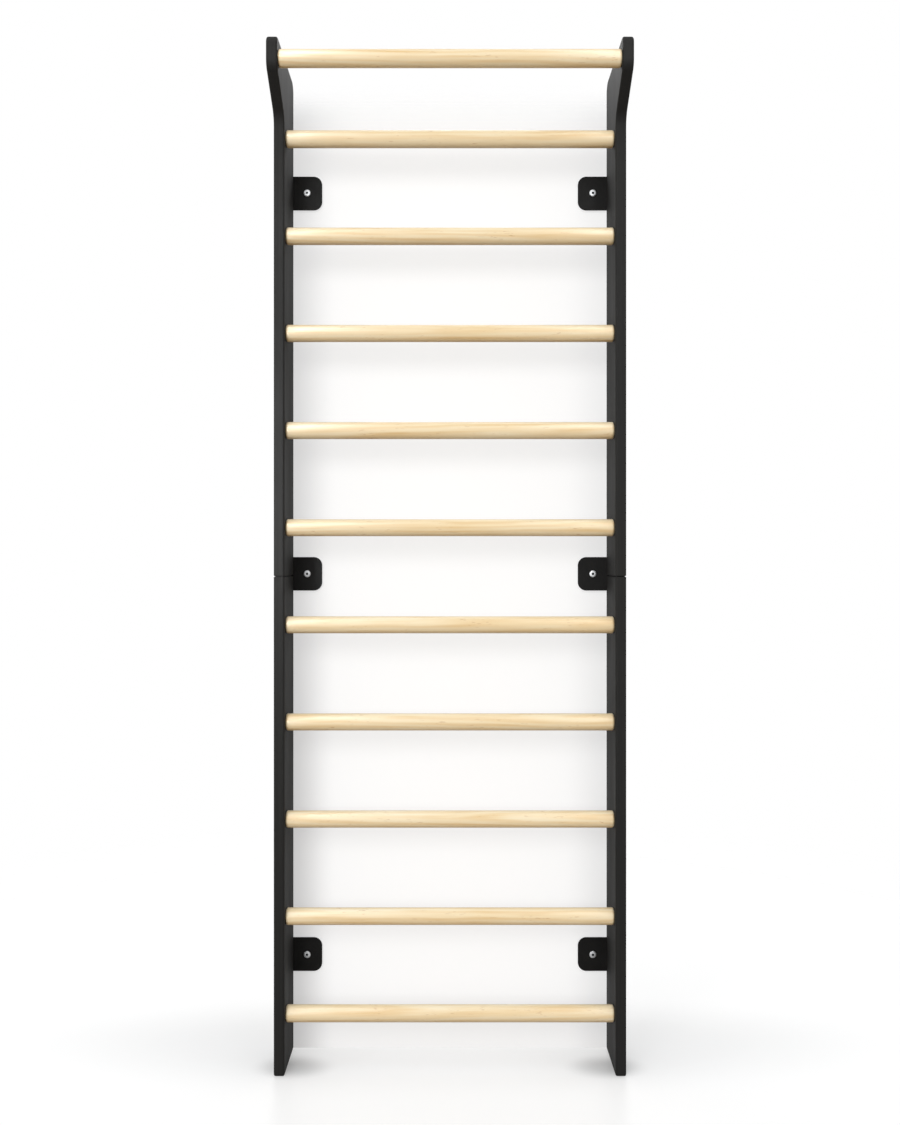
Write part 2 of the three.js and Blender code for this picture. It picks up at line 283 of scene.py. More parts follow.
@dataclass(frozen=True)
class PaleWood:
    """Clear-lacquered pale wood of the rungs, with rings, fibres and flecks along the grain."""

    name: str = "pale_lacquered_wood"
    dark: Colour = paint(228, 195, 140)
    middle: Colour = paint(242, 221, 181)
    light: Colour = paint(249, 237, 208)
    tone_stops: Triple = (0.26, 0.5, 0.76)
    fleck: Colour = paint(184, 134, 78)
    ring_gap: float = 9 * MM
    ring_tone: float = 0.16
    sway_waves: Triple = (3.5, 18.0, 18.0)
    sway: Triple = (0.0, 0.016, 0.016)
    fibres: Speckle = Speckle((6.0, 260.0, 260.0), 3.0, rough=0.55, tone=0.38, relief=0.6)
    clouds: Speckle = Speckle((5.0, 45.0, 45.0), tone=0.46)
    pores: Speckle = Speckle((60.0, 1500.0, 1500.0), relief=1.0)
    flecks: Speckle = Speckle((60.0, 420.0, 420.0), 1.0)
    fleck_span: Pair = (0.63, 0.74)
    fleck_strength: float = 0.5
    patches: Speckle = Speckle((14.0, 60.0, 60.0), 1.0)
    patch_span: Pair = (0.5, 0.64)
    pore_span: Pair = (0.3, 0.7)
    roughness: Pair = (0.32, 0.39)
    relief: Pair = (0.08, 0.2 * MM)
    specular: float = 0.5
    sheen: float = 0.9

    def rings(self, wire: Wiring, grain: Socket) -> Socket:
        """Give the year rings, which sway a little round the pith.

        Args:
            wire: the finish's wiring.
            grain: the place in the tree that the piece was cut from.

        Returns:
            A value from 0 to 1.
        """
        waves = wire.vector("MULTIPLY", grain, self.sway_waves)
        noise = {"Vector": waves, "Scale": 1.0, "Detail": 2.0}
        drift = wire.node("ShaderNodeTexNoise", noise).outputs["Color"]
        sway = wire.vector("MULTIPLY", wire.vector("SUBTRACT", drift, (0.5, 0.5, 0.5)), self.sway)
        inputs = {
            "Vector": wire.vector("ADD", grain, sway),
            "Scale": math.tau / 20 / self.ring_gap,
            "Distortion": 0.0,
        }
        wave = wire.node("ShaderNodeTexWave", inputs, wave_type="RINGS", rings_direction="X",
                         wave_profile="SIN")
        return wave.outputs["Fac"]

    def material(self) -> bpy.types.Material:
        """Make the material.

        Returns:
            The finished material, which reads the pieces' own grain attribute.
        """
        made, wire = new_material(self.name)
        grain = wire.node("ShaderNodeAttribute", attribute_name=GRAIN).outputs["Vector"]
        rings = self.rings(wire, grain)
        layers = (self.fibres, self.clouds, self.pores, self.flecks, self.patches)
        fibres, clouds, pores, flecks, patches = (layer.on(wire, grain) for layer in layers)
        tone = wire.total((
            (rings, self.ring_tone), (fibres, self.fibres.tone), (clouds, self.clouds.tone)))
        colour = wire.ramp(tone, tuple(zip(self.tone_stops, (self.dark, self.middle, self.light))))
        share = wire.math("MULTIPLY", wire.spread(flecks, *self.fleck_span, 0.0, self.fleck_strength),
                          wire.spread(patches, *self.patch_span, 0.0, 1.0))
        height = wire.total(((pores, self.pores.relief), (fibres, self.fibres.relief)))
        normal = wire.node("ShaderNodeNewGeometry").outputs["Normal"]
        wire.surface({
            "Base Color": wire.blend(share, colour, self.fleck),
            "Roughness": wire.spread(pores, *self.pore_span, *self.roughness),
            "Normal": wire.bump(height, *self.relief),
            "Specular IOR Level": self.specular,
            "Anisotropic": self.sheen,
            "Tangent": wire.vector("CROSS_PRODUCT", normal, (1.0, 0.0, 0.0)),
        })
        return made


@dataclass(frozen=True)
class PlainFinish:
    """Finish of two close tones, which its layers of noise spread over a piece with its gloss and relief."""

    name: str
    dark: Colour
    light: Colour
    roughness: Pair
    relief: Pair
    layers: tuple[Speckle, ...]
    tone_span: Pair = (0.3, 0.7)
    dull_span: Pair = (0.3, 0.7)
    specular: float = 0.5
    metallic: float = 0.0

    def material(self) -> bpy.types.Material:
        """Make the material."""
        made, wire = new_material(self.name)
        place = wire.place()
        values = [(layer, layer.on(wire, place)) for layer in self.layers]
        tone = wire.total((value, layer.tone) for layer, value in values)
        dullness = wire.total((value, layer.dullness) for layer, value in values)
        height = wire.total((value, layer.relief) for layer, value in values)
        wire.surface({
            "Base Color": wire.ramp(tone, tuple(zip(self.tone_span, (self.dark, self.light)))),
            "Roughness": wire.spread(dullness, *self.dull_span, *self.roughness),
            "Normal": wire.bump(height, *self.relief),
            "Specular IOR Level": self.specular,
            "Metallic": self.metallic,
        })
        return made


# Clouds, the grain of the wood below, orange peel and dust.
BLACK_LACQUER = PlainFinish(
    "matt_black_lacquer", paint(23, 23, 23), paint(34, 34, 33), roughness=(0.64, 0.76),
    relief=(0.10, 0.2 * MM),
    layers=(
        Speckle((14.0, 14.0, 5.0), 3.0, tone=0.4, dullness=0.7),
        Speckle((260.0, 260.0, 2.5), 3.0, tone=0.6, relief=0.4),
        Speckle((420.0, 420.0, 420.0), relief=0.6),
        Speckle((1600.0, 1600.0, 1600.0), 1.0, dullness=0.3),
    ),
    dull_span=(0.35, 0.65), specular=0.13)

# Fine grit, and clouds.
POWDER_COAT = PlainFinish(
    "black_powder_coat", paint(14, 14, 14), paint(26, 26, 26), roughness=(0.52, 0.66),
    relief=(0.25, 0.2 * MM),
    layers=(
        Speckle((1100.0, 1100.0, 1100.0), rough=0.6, tone=0.6, dullness=1.0, relief=1.0),
        Speckle((30.0, 30.0, 30.0), tone=0.4),
    ),
    tone_span=(0.35, 0.65), specular=0.1)

# Clouds and fine scratches.
STEEL_LAYERS = (
    Speckle((260.0, 260.0, 260.0), 3.0, tone=0.6, dullness=0.6),
    Speckle((900.0, 900.0, 6000.0), tone=0.4, dullness=0.4, relief=1.0),
)
ZINC_STEEL = PlainFinish(
    "zinc_steel", paint(158, 160, 162), paint(200, 202, 204), roughness=(0.48, 0.6), relief=(0.15, 0.05 * MM),
    layers=STEEL_LAYERS, metallic=1.0)
BLACK_STEEL = PlainFinish(
    "black_oxide_steel", paint(26, 26, 28), paint(44, 44, 46), roughness=(0.6, 0.76),
    relief=(0.15, 0.05 * MM),
    layers=STEEL_LAYERS, metallic=1.0)

# Fibres along the loose tenons.
BARE_HARDWOOD = PlainFinish(
    "bare_hardwood", paint(170, 128, 82), paint(208, 170, 122), roughness=(0.6, 0.8), relief=(0.2, 0.2 * MM),
    layers=(Speckle((300.0, 300.0, 10.0), 4.0, tone=1.0, dullness=1.0, relief=1.0),))


def new_object(name: str, data: bpy.types.ID) -> bpy.types.Object:
    """Put a mesh, lamp or camera into the scene as an object at the origin."""
    made = bpy.data.objects.new(name, data)
    bpy.context.scene.collection.objects.link(made)
    return made


def mesh_object(name: str, shape: bmesh.types.BMesh) -> bpy.types.Object:
    """Turn an edit mesh into an object, and free it."""
    mesh = bpy.data.meshes.new(name)
    shape.to_mesh(mesh)
    shape.free()
    return new_object(name, mesh)


def discard(piece: bpy.types.Object) -> None:
    """Remove a helper object and its mesh."""
    mesh = piece.data
    bpy.data.objects.remove(piece)
    bpy.data.meshes.remove(mesh)


def settle(piece: bpy.types.Object) -> None:
    """Turn what a piece's modifiers make into its plain mesh."""
    graph = bpy.context.evaluated_depsgraph_get()
    old = piece.data
    made = bpy.data.meshes.new_from_object(piece.evaluated_get(graph))
    piece.modifiers.clear()
    piece.data = made
    made.name = piece.name
    bpy.data.meshes.remove(old)


def shade(mesh: bpy.types.Mesh) -> None:
    """Shade a mesh smooth between its sharp edges."""
    mesh.polygons.foreach_set("use_smooth", [True] * len(mesh.polygons))
    mesh.set_sharp_from_angle(angle=CREASE)


def smooth(piece: bpy.types.Object) -> None:
    """Shade a piece smooth between its sharp edges, with its large flats kept flat."""
    shade(piece.data)
    weigh = piece.modifiers.new("flats", "WEIGHTED_NORMAL")
    weigh.keep_sharp = True
    settle(piece)


def middle_of(node: str) -> Vector:
    """Give the middle of a solid's box."""
    low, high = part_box(node)
    return (low + high) / 2


def hand_over(piece: bpy.types.Object, slot: str, *nodes: str) -> None:
    """Set a finished piece on its body in place of its solids, and report it.

    Args:
        piece: the finished piece.
        slot: the record's material slot; not used.
        nodes: the solids that it stands for.
    """
    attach(piece, BODY)
    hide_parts(*nodes)
    LOG.info("%s: %d faces, stands for %d solids", piece.name, len(piece.data.polygons), len(nodes))


def stitch(shape: bmesh.types.BMesh, rings: Sequence[Sequence[bmesh.types.BMVert]]) -> None:
    """Join each ring of points to the next one by faces."""
    for lower, upper in zip(rings, rings[1:]):
        for index in range(len(lower)):
            shape.faces.new((lower[index - 1], lower[index], upper[index], upper[index - 1]))


def cap(shape: bmesh.types.BMesh, rings: Sequence[Sequence[bmesh.types.BMVert]]) -> None:
    """Close the first and the last ring of points by a face each."""
    shape.faces.new(reversed(rings[0]))
    shape.faces.new(rings[-1])


@dataclass(frozen=True)
class Corner:
    """Corner of a flat outline, with the arc there and the easing of the edge that runs on from it."""

    across: float
    up: float
    radius: float
    ease: float


@dataclass(frozen=True)
class Outline:
    """Closed outline, counter-clockwise, with rounded corners."""

    corners: tuple[Corner, ...]
    arc_step: float = math.radians(7.5)
    least_radius: float = 0.02 * MM
    weld: float = 0.05 * MM

    def ring(self, share: float) -> list[Pair]:
        """Give the outline's points after each edge has moved in by a share of its easing.

        Args:
            share: 0 for the full outline, 1 for the flat face inside the eased edges.

        Returns:
            Points along the outline. Every share gives the same number of them.
        """
        points: list[Pair] = []
        count = len(self.corners)
        for index, corner in enumerate(self.corners):
            before = self.corners[index - 1]
            after = self.corners[(index + 1) % count]
            here = Vector((corner.across, corner.up))
            inward = (here - Vector((before.across, before.up))).normalized()
            onward = (Vector((after.across, after.up)) - here).normalized()
            bend = math.atan2(inward.x * onward.y - inward.y * onward.x, inward.dot(onward))
            side_in = Vector((-inward.y, inward.x))
            side_on = Vector((-onward.y, onward.x))
            move_in = before.ease * share
            move_on = corner.ease * share
            sine = math.sin(bend)
            here.x += (move_in * side_on.y - move_on * side_in.y) / sine
            here.y += (move_on * side_in.x - move_in * side_on.x) / sine
            turn = math.copysign(1.0, bend)
            radius = max(corner.radius - turn * (move_in + move_on) / 2, self.least_radius)
            start = here - inward * radius * math.tan(abs(bend) / 2)
            centre = start + side_in * turn * radius
            spoke = start - centre
            steps = max(2, round(abs(bend) / self.arc_step))
            for step in range(steps + 1):
                angle = bend * step / steps
                cosine, sine_step = math.cos(angle), math.sin(angle)
                points.append((centre.x + spoke.x * cosine - spoke.y * sine_step,
                               centre.y + spoke.x * sine_step + spoke.y * cosine))
        return points

    def slab(self, axes: Matrix, thickness: float, ease: float, steps: int) -> bmesh.types.BMesh:
        """Make a slab of the outline, rounded over along both faces.

        Args:
            axes: where across, up and depth point, and the place of the first face.
            thickness: the slab's thickness.
            ease: how deep the rounding reaches from each face.
            steps: facets over each rounding.

        Returns:
            The closed slab.
        """
        shape = bmesh.new()
        turns = [math.pi / 2 * step / steps for step in range(steps + 1)]
        layers = [(ease * (1 - math.cos(turn)), 1 - math.sin(turn)) for turn in turns]
        layers += [(thickness - depth, share) for depth, share in reversed(layers)]
        rings = [[shape.verts.new(axes @ Vector((across, up, depth))) for across, up in self.ring(share)]
                 for depth, share in layers]
        stitch(shape, rings)
        cap(shape, rings)
        bmesh.ops.remove_doubles(shape, verts=shape.verts, dist=self.weld)
        return shape


class Cutters:
    """Collects the tools that cut one piece, and takes them all out of it at once."""

    def __init__(self) -> None:
        """Start with no tools."""
        self.shape = bmesh.new()

    def block(self, low: Vector, high: Vector) -> None:
        """Add a box between two corners."""
        size = Matrix.Diagonal((*(high - low), 1.0))
        bmesh.ops.create_cube(self.shape, size=1.0, matrix=Matrix.Translation((low + high) / 2) @ size)

    def bore(self, place: Vector, axis: Vector, stations: Sequence[Pair], segments: int = 32) -> None:
        """Add a stepped round tool.

        Args:
            place: a point on its axis.
            axis: the way in which it is measured.
            stations: distances from the point and radii, in order along the axis.
            segments: facets round it.
        """
        turn = Matrix.Translation(place) @ axis.to_track_quat("Z", "Y").to_matrix().to_4x4()
        angles = [math.tau * index / segments for index in range(segments)]
        rings = []
        for distance, radius in stations:
            points = [(radius * math.cos(angle), radius * math.sin(angle), distance) for angle in angles]
            rings.append([self.shape.verts.new(turn @ Vector(point)) for point in points])
        stitch(self.shape, rings)
        cap(self.shape, rings)

    def collar(self, low: Vector, high: Vector, core_low: Vector, core_high: Vector) -> None:
        """Add an upright square ring, which cuts a groove round a board and leaves the core.

        Args:
            low: the ring's lowest corner, outside the board.
            high: its highest corner, outside the board.
            core_low: the left front corner of what stays.
            core_high: the right back corner of what stays.
        """
        loops = []
        for first, last, height in ((low, high, low.z), (low, high, high.z),
                                    (core_low, core_high, high.z), (core_low, core_high, low.z)):
            corners = ((first.x, first.y), (last.x, first.y), (last.x, last.y), (first.x, last.y))
            loops.append([self.shape.verts.new((x, y, height)) for x, y in corners])
        stitch(self.shape, [*loops, loops[0]])

    def cut(self, piece: bpy.types.Object) -> None:
        """Take the tools out of a piece."""
        tools = mesh_object(f"{piece.name}_tools", self.shape)
        boolean = piece.modifiers.new("joints", "BOOLEAN")
        boolean.operation = "DIFFERENCE"
        boolean.solver = "EXACT"
        boolean.object = tools
        settle(piece)
        discard(tools)


@dataclass(frozen=True)
class Ladder:
    """Places that the sub-assemblies share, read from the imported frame."""

    inner_x: float
    outer_x: float
    front_y: float
    wall_y: float
    head_y: float
    seam_z: float
    top_z: float

    @classmethod
    def from_frame(cls) -> "Ladder":
        """Read the places from the right-hand boards."""
        low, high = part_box("upright_lower_right")
        head_low, head_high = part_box("upright_upper_right")
        return cls(low.x, high.x, low.y, high.y, head_low.y, high.z, head_high.z)


@dataclass(frozen=True)
class UprightBoard:
    """One board of an upright, with its head or foot, rounded edges, joints and plate seats."""

    ladder: Ladder
    side: Side
    half: Half
    flare_start: float = 1952 * MM
    flare_end: float = 2015 * MM
    flare_start_radius: float = 34 * MM
    flare_end_radius: float = 26 * MM
    head_front_radius: float = 16 * MM
    head_back_radius: float = 22 * MM
    foot_radius: float = 5 * MM
    edge_radius: float = 4 * MM
    back_ease: float = 1.5 * MM
    edge_steps: int = 6
    seam_radius: float = 1.6 * MM
    seam_ease: float = 1.2 * MM
    seam_groove: float = 1.2 * MM
    groove_front: float = 8 * MM
    groove_inside: float = 4 * MM
    groove_outside: float = 0.8 * MM
    socket_radius: float = 11.3 * MM
    socket_depth: float = 14 * MM
    screw_hole_radius: float = 3.3 * MM
    screw_mouth_radius: float = 5.8 * MM
    fit_gap: float = 0.3 * MM
    overrun: float = 2 * MM

    @property
    def name(self) -> str:
        """The node that this board stands for."""
        return f"upright_{self.half.value}_{self.side.label}"

    @property
    def faces(self) -> Pair:
        """Where the inner and the outer face are along X."""
        return self.side.value * self.ladder.inner_x, self.side.value * self.ladder.outer_x

    def outline(self) -> Outline:
        """Give the side outline, Y across and Z up."""
        at, edge = self.ladder, self.edge_radius
        if self.half is Half.LOWER:
            return Outline((
                Corner(at.wall_y, 0.0, self.foot_radius, self.back_ease),
                Corner(at.wall_y, at.seam_z, self.seam_radius, self.seam_ease),
                Corner(at.front_y, at.seam_z, self.seam_radius, edge),
                Corner(at.front_y, 0.0, self.foot_radius, edge),
            ))
        return Outline((
            Corner(at.wall_y, at.seam_z, self.seam_radius, self.back_ease),
            Corner(at.wall_y, at.top_z, self.head_back_radius, edge),
            Corner(at.head_y, at.top_z, self.head_front_radius, edge),
            Corner(at.head_y, self.flare_end, self.flare_end_radius, edge),
            Corner(at.front_y, self.flare_start, self.flare_start_radius, edge),
            Corner(at.front_y, at.seam_z, self.seam_radius, self.seam_ease),
        ))

    def carries(self, height: float) -> bool:
        """Tell whether something at a height is on this board."""
        return (height > self.ladder.seam_z) == (self.half is Half.UPPER)

    def groove(self) -> Cutters:
        """Collect the tool for this board's half of the shadow groove along the seam."""
        at, sign, past = self.ladder, self.side.value, self.overrun
        inner, outer = self.faces
        core = sorted((inner + sign * self.groove_inside, outer - sign * self.groove_outside))
        below, above = (self.seam_groove, past) if self.half is Half.LOWER else (past, self.seam_groove)
        tools = Cutters()
        tools.collar(
            Vector((min(inner, outer) - past, at.front_y - past, at.seam_z - below)),
            Vector((max(inner, outer) + past, at.wall_y + past, at.seam_z + above)),
            Vector((core[0], at.front_y + self.groove_front, 0.0)),
            Vector((core[1], at.wall_y - self.groove_outside, 0.0)))
        return tools

    def joints(self) -> Cutters:
        """Collect the tools for the rung sockets, screw holes, plate seats and seam mortise."""
        at, tools, past = self.ladder, Cutters(), self.overrun
        inner, outer = self.faces
        board = at.outer_x - at.inner_x
        countersink = self.screw_mouth_radius - self.screw_hole_radius
        stations = (
            (-past, self.socket_radius),
            (self.socket_depth, self.socket_radius),
            (self.socket_depth, self.screw_hole_radius),
            (board - countersink, self.screw_hole_radius),
            (board + past, self.screw_mouth_radius + past),
        )
        for bar in BAR_NAMES:
            middle = middle_of(bar)
            if self.carries(middle.z):
                place = Vector((inner, middle.y, middle.z))
                tools.bore(place, Vector((self.side.value, 0.0, 0.0)), stations)
        gap = Vector((self.fit_gap,) * 3)
        low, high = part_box(f"seam_tenon_{self.side.label}")
        if self.half is Half.LOWER:
            tools.block(low - gap, Vector((high.x, high.y, at.seam_z + past)) + gap)
        else:
            tools.block(Vector((low.x, low.y, at.seam_z - past)) - gap, high + gap)
        reach = Vector((2 * board, past, self.fit_gap))
        for level in Level:
            low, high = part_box(f"wall_plate_{level.label}_{self.side.label}")
            if level is Level.MIDDLE or self.carries(low.z):
                seat_low = Vector((outer, low.y, low.z)) - Vector((reach.x, 0.0, reach.z))
                tools.block(seat_low, Vector((outer, high.y, high.z)) + reach)
        return tools

    def build(self, finish: bpy.types.Material) -> None:
        """Make the board in its lacquer."""
        at = self.ladder
        axes = Matrix(((0, 0, 1, min(self.faces)), (1, 0, 0, 0), (0, 1, 0, 0), (0, 0, 0, 1)))
        slab = self.outline().slab(axes, at.outer_x - at.inner_x, self.edge_radius, self.edge_steps)
        piece = mesh_object(f"{self.name}_board", slab)
        piece.data.materials.append(finish)
        self.groove().cut(piece)
        self.joints().cut(piece)
        smooth(piece)
        hand_over(piece, "upright", self.name)


@dataclass(frozen=True)
class WallPlate:
    """Flat wall plate with round free corners and its screw holes."""

    side: Side
    level: Level
    wing_radius: float = 18 * MM
    tab_radius: float = 3 * MM
    ease: float = 0.6 * MM
    ease_steps: int = 3
    wall_hole_radius: float = 4.3 * MM
    screw_hole_radius: float = 2.8 * MM
    screw_mouth_radius: float = 5.1 * MM
    overrun: float = 2 * MM

    @property
    def name(self) -> str:
        """The node that this plate stands for."""
        return f"wall_plate_{self.level.label}_{self.side.label}"

    def outline(self, low: Vector, high: Vector) -> Outline:
        """Give the front outline, X across and Z up, in the plate's box."""
        tab, wing = self.tab_radius, self.wing_radius
        left, right = (tab, wing) if self.side is Side.LEFT else (wing, tab)
        return Outline((
            Corner(low.x, low.z, left, self.ease),
            Corner(high.x, low.z, right, self.ease),
            Corner(high.x, high.z, right, self.ease),
            Corner(low.x, high.z, left, self.ease),
        ))

    def holes(self, front: float, thickness: float) -> Cutters:
        """Collect the tools for the wall screw's hole and the countersunk ones.

        Args:
            front: where the front face is along Y.
            thickness: the plate's thickness.

        Returns:
            The tools.
        """
        tools, past = Cutters(), self.overrun
        through = ((-past, self.wall_hole_radius), (thickness + past, self.wall_hole_radius))
        sunk = (
            (-past, self.screw_hole_radius),
            (thickness - self.screw_mouth_radius + self.screw_hole_radius, self.screw_hole_radius),
            (thickness + past, self.screw_mouth_radius + past),
        )
        screws = [(f"wall_screw_{self.level.label}", through)]
        screws += [(f"plate_screw_{label}", sunk) for label in self.level.value]
        for screw, stations in screws:
            middle = middle_of(f"{screw}_{self.side.label}")
            tools.bore(Vector((middle.x, front, middle.z)), Vector((0.0, 1.0, 0.0)), stations)
        return tools

    def build(self, finish: bpy.types.Material) -> None:
        """Make the plate in its powder coat."""
        low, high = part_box(self.name)
        thickness = high.y - low.y
        axes = Matrix(((1, 0, 0, 0), (0, 0, -1, high.y), (0, 1, 0, 0), (0, 0, 0, 1)))
        slab = self.outline(low, high).slab(axes, thickness, self.ease, self.ease_steps)
        piece = mesh_object(f"{self.name}_piece", slab)
        piece.data.materials.append(finish)
        self.holes(low.y, thickness).cut(piece)
        smooth(piece)
        hand_over(piece, "plate", self.name)


class Turning:
    """Geometry Nodes tree that turns a half profile on the spot of each point that it is given."""

    weld: float = 0.001 * MM

    def __init__(self, name: str, sizes: Mapping[str, str]) -> None:
        """Start a tree with named inputs.

        Args:
            name: the tree's name.
            sizes: the inputs' names and socket types, besides the profile, facets and finish.
        """
        self.tree = bpy.data.node_groups.new(name, "GeometryNodeTree")
        self.wire = Wiring(self.tree)
        face = self.tree.interface
        face.new_socket("Geometry", in_out="OUTPUT", socket_type="NodeSocketGeometry")
        self.keys: dict[str, str] = {}
        inputs = {"Seats": "Geometry", "Profile": "Object", "Facets": "Int", **sizes, "Finish": "Material"}
        for label, kind in inputs.items():
            socket = face.new_socket(label, in_out="INPUT", socket_type=f"NodeSocket{kind}")
            self.keys[label] = socket.identifier
        self.inputs = self.wire.node("NodeGroupInput").outputs

    def turned(self, along_x: bool) -> Socket:
        """Add the nodes that turn the profile, which runs up its own Z with its radius along X.

        Args:
            along_x: lay the axis along X, and not up Z.

        Returns:
            The turned mesh.
        """
        wire = self.wire
        guide = wire.node("GeometryNodeObjectInfo", {"Object": self.inputs["Profile"]})
        profile = guide.outputs["Geometry"]
        size = wire.node("GeometryNodeAttributeDomainSize", {"Geometry": profile})
        gaps = wire.math("SUBTRACT", size.outputs["Point Count"], 1.0)
        blank = wire.out("GeometryNodeMeshCylinder", {
            "Vertices": self.inputs["Facets"], "Side Segments": gaps, "Fill Segments": 1,
            "Radius": 1.0, "Depth": 1.0,
        })
        place = wire.out("GeometryNodeInputPosition")
        on_blank = wire.axes(place)
        row = wire.math("ROUND", wire.math("MULTIPLY", wire.math("ADD", on_blank[2], 0.5), gaps))
        station = wire.out("GeometryNodeSampleIndex", {"Geometry": profile, "Value": place, "Index": row},
                           data_type="FLOAT_VECTOR")
        on_profile = wire.axes(station)
        first = wire.math("MULTIPLY", on_blank[0], on_profile[0])
        second = wire.math("MULTIPLY", on_blank[1], on_profile[0])
        axes = (on_profile[2], first, second) if along_x else (first, second, on_profile[2])
        spot = wire.out("ShaderNodeCombineXYZ", dict(enumerate(axes)))
        shaped = wire.out("GeometryNodeSetPosition", {"Geometry": blank, "Position": spot})
        return wire.out("GeometryNodeMergeByDistance", {"Geometry": shaped, "Distance": self.weld})

    def end(self, instances: Socket, spared: Socket | None = None) -> None:
        """Close the tree: realize the instances and set the finish.

        Args:
            instances: the turned pieces on their spots.
            spared: a material whose faces keep it.
        """
        wire = self.wire
        real = wire.out("GeometryNodeRealizeInstances", {"Geometry": instances})
        inputs = {"Geometry": real, "Material": self.inputs["Finish"]}
        if spared:
            kept = wire.out("GeometryNodeMaterialSelection", {"Material": spared})
            inputs["Selection"] = wire.out("FunctionNodeBooleanMath", {0: kept}, operation="NOT")
        wire.node("NodeGroupOutput", {0: wire.out("GeometryNodeSetMaterial", inputs)})

    def run(self, name: str, seats: Sequence[tuple[Vector, Vector]], profile: Sequence[Pair],
            values: Mapping[str, object]) -> bpy.types.Object:
        """Make a piece with this tree.

        Args:
            name: the piece's name.
            seats: places and the ways that the pieces there face.
            profile: radii and heights of the half profile, from the lower end up.
            values: the other inputs by their names.

        Returns:
            The piece as a plain mesh.
        """
        rail = bpy.data.meshes.new("profile")
        rail.from_pydata([(radius, 0.0, height) for radius, height in profile],
                         [(index, index + 1) for index in range(len(profile) - 1)], [])
        guide = new_object("profile", rail)
        spots = bpy.data.meshes.new(name)
        spots.from_pydata([place for place, _ in seats], [], [])
        facing = spots.attributes.new(FACING, "FLOAT_VECTOR", "POINT")
        facing.data.foreach_set("vector", [part for _, way in seats for part in way])
        piece = new_object(name, spots)
        modifier = piece.modifiers.new(self.tree.name, "NODES")
        modifier.node_group = self.tree
        for label, value in {**values, "Profile": guide}.items():
            modifier[self.keys[label]] = value
        settle(piece)
        discard(guide)
        shade(piece.data)
        return piece


@dataclass(frozen=True)
class Rungs:
    """Ten rungs and the pull-up bar: turned wood with eased shoulders and a tenon at each end."""

    ladder: Ladder
    tenon_radius: float = 11 * MM
    shoulder_ease: float = 4.5 * MM
    ease_steps: int = 8
    body_steps: int = 12
    facets: int = 96
    along: Pair = (-3.0, 3.0)
    pith: Pair = (16 * MM, 60 * MM)
    tilt: float = math.radians(2.2)
    seed: int = 7

    def tree(self) -> Turning:
        """Make the tree, which also lays each bar's own grain through the wood."""
        turning = Turning("turned_bar", {"Grain Turn": "Float", "Grain Tilt": "Float", "Pith": "Vector"})
        wire, inputs = turning.wire, turning.inputs
        bar = turning.turned(along_x=True)
        lean = wire.out("GeometryNodeInputPosition")
        for angle, axis in (("Grain Turn", "X_AXIS"), ("Grain Tilt", "Z_AXIS")):
            turn = {"Vector": lean, "Angle": inputs[angle]}
            lean = wire.out("ShaderNodeVectorRotate", turn, rotation_type=axis)
        grain = wire.vector("ADD", lean, inputs["Pith"])
        marked = wire.out("GeometryNodeStoreNamedAttribute", {"Geometry": bar, "Name": GRAIN, "Value": grain},
                          data_type="FLOAT_VECTOR", domain="POINT")
        turning.end(wire.out("GeometryNodeInstanceOnPoints", {"Points": inputs["Seats"], "Instance": marked}))
        return turning

    def profile(self, radius: float, end: float) -> list[Pair]:
        """Give the half profile of a bar.

        Args:
            radius: the bar's radius.
            end: half its length over the tenons.

        Returns:
            Radii and distances along it.
        """
        shoulder, ease = self.ladder.inner_x, self.shoulder_ease
        half = [(self.tenon_radius, end), (self.tenon_radius, shoulder)]
        for step in range(self.ease_steps + 1):
            turn = math.pi / 2 * step / self.ease_steps
            half.append((radius - ease + ease * math.sin(turn), shoulder - ease + ease * math.cos(turn)))
        body = [(radius, (shoulder - ease) * (2 * step / self.body_steps - 1))
                for step in range(1, self.body_steps)]
        return [(r, -x) for r, x in half] + body + half[::-1]

    def build(self, finish: bpy.types.Material) -> None:
        """Make each bar in its wood, with a grain of its own."""
        tree, draw = self.tree(), random.Random(self.seed)
        for name in BAR_NAMES:
            low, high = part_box(name)
            pith = Vector((draw.uniform(*self.along), draw.uniform(*self.pith), 0.0))
            values = {
                "Facets": self.facets,
                "Grain Turn": draw.uniform(0.0, math.tau),
                "Grain Tilt": draw.uniform(-self.tilt, self.tilt),
                "Pith": pith,
                "Finish": finish,
            }
            profile = self.profile((high.z - low.z) / 2, (high.x - low.x) / 2)
            seat = (middle_of(name), Vector((1.0, 0.0, 0.0)))
            hand_over(tree.run(f"{name}_turned", [seat], profile, values), "rung", name)


class ScrewHead(Enum):
    """Shape of a screw's head."""

    COUNTERSUNK = "countersunk"
    DOMED = "domed"


